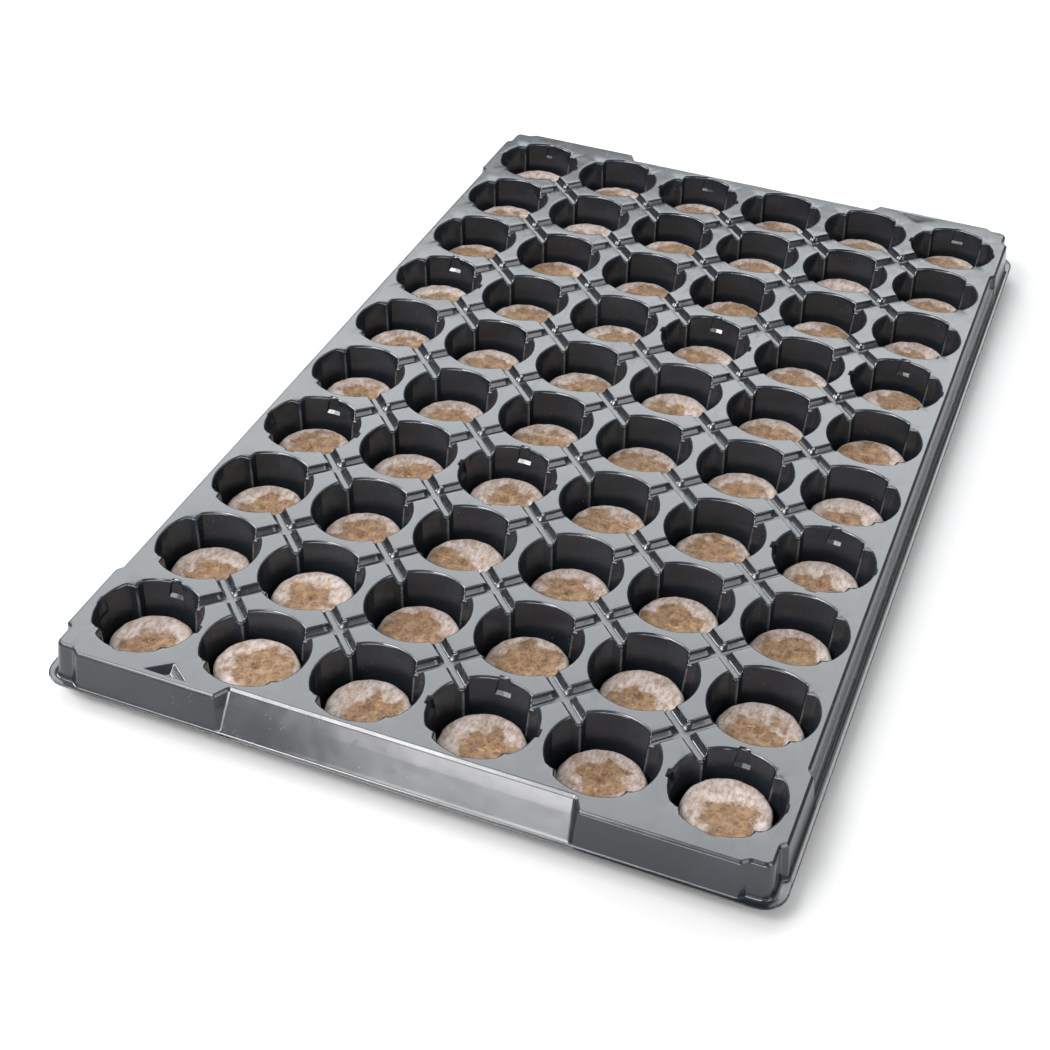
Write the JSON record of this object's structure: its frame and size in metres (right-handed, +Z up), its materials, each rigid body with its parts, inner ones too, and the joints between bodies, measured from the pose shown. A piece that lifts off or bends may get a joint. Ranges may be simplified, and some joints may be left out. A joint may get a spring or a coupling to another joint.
{
  "type": "plug tray",
  "caption": "Black formed-plastic plug tray: a grid of round ribbed cups under a level deck, with a loose netted peat pellet in every cup.",
  "frame": {"origin": "on the plane that the cups' floors rest on, under the middle of the tray", "axes": "+Z up, +Y along the long side, +X along the short side; row 1 and column 1 are at -Y and -X"},
  "size_m": [0.3212, 0.5312, 0.028],
  "materials": {
    "tray_plastic": "satin black formed sheet",
    "pellet": "pressed peat in a fleece net"
  },
  "bodies": {
    "root": {"tray_rows_1_2": "tray_plastic", "tray_rows_3_4": "tray_plastic", "tray_rows_5_6": "tray_plastic", "tray_rows_7_8": "tray_plastic", "tray_rows_9_10": "tray_plastic"},
    "pellet_row1_column1": {"pellet_row1_column1": "pellet"},
    "pellet_row1_column2": {"pellet_row1_column2": "pellet"},
    "pellet_row1_column3": {"pellet_row1_column3": "pellet"},
    "pellet_row1_column4": {"pellet_row1_column4": "pellet"},
    "pellet_row1_column5": {"pellet_row1_column5": "pellet"},
    "pellet_row2_column1": {"pellet_row2_column1": "pellet"},
    "pellet_row2_column2": {"pellet_row2_column2": "pellet"},
    "pellet_row2_column3": {"pellet_row2_column3": "pellet"},
    "pellet_row2_column4": {"pellet_row2_column4": "pellet"},
    "pellet_row2_column5": {"pellet_row2_column5": "pellet"},
    "pellet_row2_column6": {"pellet_row2_column6": "pellet"},
    "pellet_row3_column1": {"pellet_row3_column1": "pellet"},
    "pellet_row3_column2": {"pellet_row3_column2": "pellet"},
    "pellet_row3_column3": {"pellet_row3_column3": "pellet"},
    "pellet_row3_column4": {"pellet_row3_column4": "pellet"},
    "pellet_row3_column5": {"pellet_row3_column5": "pellet"},
    "pellet_row4_column1": {"pellet_row4_column1": "pellet"},
    "pellet_row4_column2": {"pellet_row4_column2": "pellet"},
    "pellet_row4_column3": {"pellet_row4_column3": "pellet"},
    "pellet_row4_column4": {"pellet_row4_column4": "pellet"},
    "pellet_row4_column5": {"pellet_row4_column5": "pellet"},
    "pellet_row4_column6": {"pellet_row4_column6": "pellet"},
    "pellet_row5_column1": {"pellet_row5_column1": "pellet"},
    "pellet_row5_column2": {"pellet_row5_column2": "pellet"},
    "pellet_row5_column3": {"pellet_row5_column3": "pellet"},
    "pellet_row5_column4": {"pellet_row5_column4": "pellet"},
    "pellet_row5_column5": {"pellet_row5_column5": "pellet"},
    "pellet_row6_column1": {"pellet_row6_column1": "pellet"},
    "pellet_row6_column2": {"pellet_row6_column2": "pellet"},
    "pellet_row6_column3": {"pellet_row6_column3": "pellet"},
    "pellet_row6_column4": {"pellet_row6_column4": "pellet"},
    "pellet_row6_column5": {"pellet_row6_column5": "pellet"},
    "pellet_row6_column6": {"pellet_row6_column6": "pellet"},
    "pellet_row7_column1": {"pellet_row7_column1": "pellet"},
    "pellet_row7_column2": {"pellet_row7_column2": "pellet"},
    "pellet_row7_column3": {"pellet_row7_column3": "pellet"},
    "pellet_row7_column4": {"pellet_row7_column4": "pellet"},
    "pellet_row7_column5": {"pellet_row7_column5": "pellet"},
    "pellet_row8_column1": {"pellet_row8_column1": "pellet"},
    "pellet_row8_column2": {"pellet_row8_column2": "pellet"},
    "pellet_row8_column3": {"pellet_row8_column3": "pellet"},
    "pellet_row8_column4": {"pellet_row8_column4": "pellet"},
    "pellet_row8_column5": {"pellet_row8_column5": "pellet"},
    "pellet_row8_column6": {"pellet_row8_column6": "pellet"},
    "pellet_row9_column1": {"pellet_row9_column1": "pellet"},
    "pellet_row9_column2": {"pellet_row9_column2": "pellet"},
    "pellet_row9_column3": {"pellet_row9_column3": "pellet"},
    "pellet_row9_column4": {"pellet_row9_column4": "pellet"},
    "pellet_row9_column5": {"pellet_row9_column5": "pellet"},
    "pellet_row10_column1": {"pellet_row10_column1": "pellet"},
    "pellet_row10_column2": {"pellet_row10_column2": "pellet"},
    "pellet_row10_column3": {"pellet_row10_column3": "pellet"},
    "pellet_row10_column4": {"pellet_row10_column4": "pellet"},
    "pellet_row10_column5": {"pellet_row10_column5": "pellet"},
    "pellet_row10_column6": {"pellet_row10_column6": "pellet"}
  },
  "joints": [
    {"name": "lift_row1_column1", "type": "slide", "parent": "root", "child": "pellet_row1_column1", "axis": [0, 0, 1], "range_m": [0, 0.04]},
    {"name": "lift_row1_column2", "type": "slide", "parent": "root", "child": "pellet_row1_column2", "axis": [0, 0, 1], "range_m": [0, 0.04]},
    {"name": "lift_row1_column3", "type": "slide", "parent": "root", "child": "pellet_row1_column3", "axis": [0, 0, 1], "range_m": [0, 0.04]},
    {"name": "lift_row1_column4", "type": "slide", "parent": "root", "child": "pellet_row1_column4", "axis": [0, 0, 1], "range_m": [0, 0.04]},
    {"name": "lift_row1_column5", "type": "slide", "parent": "root", "child": "pellet_row1_column5", "axis": [0, 0, 1], "range_m": [0, 0.04]},
    {"name": "lift_row2_column1", "type": "slide", "parent": "root", "child": "pellet_row2_column1", "axis": [0, 0, 1], "range_m": [0, 0.04]},
    {"name": "lift_row2_column2", "type": "slide", "parent": "root", "child": "pellet_row2_column2", "axis": [0, 0, 1], "range_m": [0, 0.04]},
    {"name": "lift_row2_column3", "type": "slide", "parent": "root", "child": "pellet_row2_column3", "axis": [0, 0, 1], "range_m": [0, 0.04]},
    {"name": "lift_row2_column4", "type": "slide", "parent": "root", "child": "pellet_row2_column4", "axis": [0, 0, 1], "range_m": [0, 0.04]},
    {"name": "lift_row2_column5", "type": "slide", "parent": "root", "child": "pellet_row2_column5", "axis": [0, 0, 1], "range_m": [0, 0.04]},
    {"name": "lift_row2_column6", "type": "slide", "parent": "root", "child": "pellet_row2_column6", "axis": [0, 0, 1], "range_m": [0, 0.04]},
    {"name": "lift_row3_column1", "type": "slide", "parent": "root", "child": "pellet_row3_column1", "axis": [0, 0, 1], "range_m": [0, 0.04]},
    {"name": "lift_row3_column2", "type": "slide", "parent": "root", "child": "pellet_row3_column2", "axis": [0, 0, 1], "range_m": [0, 0.04]},
    {"name": "lift_row3_column3", "type": "slide", "parent": "root", "child": "pellet_row3_column3", "axis": [0, 0, 1], "range_m": [0, 0.04]},
    {"name": "lift_row3_column4", "type": "slide", "parent": "root", "child": "pellet_row3_column4", "axis": [0, 0, 1], "range_m": [0, 0.04]},
    {"name": "lift_row3_column5", "type": "slide", "parent": "root", "child": "pellet_row3_column5", "axis": [0, 0, 1], "range_m": [0, 0.04]},
    {"name": "lift_row4_column1", "type": "slide", "parent": "root", "child": "pellet_row4_column1", "axis": [0, 0, 1], "range_m": [0, 0.04]},
    {"name": "lift_row4_column2", "type": "slide", "parent": "root", "child": "pellet_row4_column2", "axis": [0, 0, 1], "range_m": [0, 0.04]},
    {"name": "lift_row4_column3", "type": "slide", "parent": "root", "child": "pellet_row4_column3", "axis": [0, 0, 1], "range_m": [0, 0.04]},
    {"name": "lift_row4_column4", "type": "slide", "parent": "root", "child": "pellet_row4_column4", "axis": [0, 0, 1], "range_m": [0, 0.04]},
    {"name": "lift_row4_column5", "type": "slide", "parent": "root", "child": "pellet_row4_column5", "axis": [0, 0, 1], "range_m": [0, 0.04]},
    {"name": "lift_row4_column6", "type": "slide", "parent": "root", "child": "pellet_row4_column6", "axis": [0, 0, 1], "range_m": [0, 0.04]},
    {"name": "lift_row5_column1", "type": "slide", "parent": "root", "child": "pellet_row5_column1", "axis": [0, 0, 1], "range_m": [0, 0.04]},
    {"name": "lift_row5_column2", "type": "slide", "parent": "root", "child": "pellet_row5_column2", "axis": [0, 0, 1], "range_m": [0, 0.04]},
    {"name": "lift_row5_column3", "type": "slide", "parent": "root", "child": "pellet_row5_column3", "axis": [0, 0, 1], "range_m": [0, 0.04]},
    {"name": "lift_row5_column4", "type": "slide", "parent": "root", "child": "pellet_row5_column4", "axis": [0, 0, 1], "range_m": [0, 0.04]},
    {"name": "lift_row5_column5", "type": "slide", "parent": "root", "child": "pellet_row5_column5", "axis": [0, 0, 1], "range_m": [0, 0.04]},
    {"name": "lift_row6_column1", "type": "slide", "parent": "root", "child": "pellet_row6_column1", "axis": [0, 0, 1], "range_m": [0, 0.04]},
    {"name": "lift_row6_column2", "type": "slide", "parent": "root", "child": "pellet_row6_column2", "axis": [0, 0, 1], "range_m": [0, 0.04]},
    {"name": "lift_row6_column3", "type": "slide", "parent": "root", "child": "pellet_row6_column3", "axis": [0, 0, 1], "range_m": [0, 0.04]},
    {"name": "lift_row6_column4", "type": "slide", "parent": "root", "child": "pellet_row6_column4", "axis": [0, 0, 1], "range_m": [0, 0.04]},
    {"name": "lift_row6_column5", "type": "slide", "parent": "root", "child": "pellet_row6_column5", "axis": [0, 0, 1], "range_m": [0, 0.04]},
    {"name": "lift_row6_column6", "type": "slide", "parent": "root", "child": "pellet_row6_column6", "axis": [0, 0, 1], "range_m": [0, 0.04]},
    {"name": "lift_row7_column1", "type": "slide", "parent": "root", "child": "pellet_row7_column1", "axis": [0, 0, 1], "range_m": [0, 0.04]},
    {"name": "lift_row7_column2", "type": "slide", "parent": "root", "child": "pellet_row7_column2", "axis": [0, 0, 1], "range_m": [0, 0.04]},
    {"name": "lift_row7_column3", "type": "slide", "parent": "root", "child": "pellet_row7_column3", "axis": [0, 0, 1], "range_m": [0, 0.04]},
    {"name": "lift_row7_column4", "type": "slide", "parent": "root", "child": "pellet_row7_column4", "axis": [0, 0, 1], "range_m": [0, 0.04]},
    {"name": "lift_row7_column5", "type": "slide", "parent": "root", "child": "pellet_row7_column5", "axis": [0, 0, 1], "range_m": [0, 0.04]},
    {"name": "lift_row8_column1", "type": "slide", "parent": "root", "child": "pellet_row8_column1", "axis": [0, 0, 1], "range_m": [0, 0.04]},
    {"name": "lift_row8_column2", "type": "slide", "parent": "root", "child": "pellet_row8_column2", "axis": [0, 0, 1], "range_m": [0, 0.04]},
    {"name": "lift_row8_column3", "type": "slide", "parent": "root", "child": "pellet_row8_column3", "axis": [0, 0, 1], "range_m": [0, 0.04]},
    {"name": "lift_row8_column4", "type": "slide", "parent": "root", "child": "pellet_row8_column4", "axis": [0, 0, 1], "range_m": [0, 0.04]},
    {"name": "lift_row8_column5", "type": "slide", "parent": "root", "child": "pellet_row8_column5", "axis": [0, 0, 1], "range_m": [0, 0.04]},
    {"name": "lift_row8_column6", "type": "slide", "parent": "root", "child": "pellet_row8_column6", "axis": [0, 0, 1], "range_m": [0, 0.04]},
    {"name": "lift_row9_column1", "type": "slide", "parent": "root", "child": "pellet_row9_column1", "axis": [0, 0, 1], "range_m": [0, 0.04]},
    {"name": "lift_row9_column2", "type": "slide", "parent": "root", "child": "pellet_row9_column2", "axis": [0, 0, 1], "range_m": [0, 0.04]},
    {"name": "lift_row9_column3", "type": "slide", "parent": "root", "child": "pellet_row9_column3", "axis": [0, 0, 1], "range_m": [0, 0.04]},
    {"name": "lift_row9_column4", "type": "slide", "parent": "root", "child": "pellet_row9_column4", "axis": [0, 0, 1], "range_m": [0, 0.04]},
    {"name": "lift_row9_column5", "type": "slide", "parent": "root", "child": "pellet_row9_column5", "axis": [0, 0, 1], "range_m": [0, 0.04]},
    {"name": "lift_row10_column1", "type": "slide", "parent": "root", "child": "pellet_row10_column1", "axis": [0, 0, 1], "range_m": [0, 0.04]},
    {"name": "lift_row10_column2", "type": "slide", "parent": "root", "child": "pellet_row10_column2", "axis": [0, 0, 1], "range_m": [0, 0.04]},
    {"name": "lift_row10_column3", "type": "slide", "parent": "root", "child": "pellet_row10_column3", "axis": [0, 0, 1], "range_m": [0, 0.04]},
    {"name": "lift_row10_column4", "type": "slide", "parent": "root", "child": "pellet_row10_column4", "axis": [0, 0, 1], "range_m": [0, 0.04]},
    {"name": "lift_row10_column5", "type": "slide", "parent": "root", "child": "pellet_row10_column5", "axis": [0, 0, 1], "range_m": [0, 0.04]},
    {"name": "lift_row10_column6", "type": "slide", "parent": "root", "child": "pellet_row10_column6", "axis": [0, 0, 1], "range_m": [0, 0.04]}
  ]
}
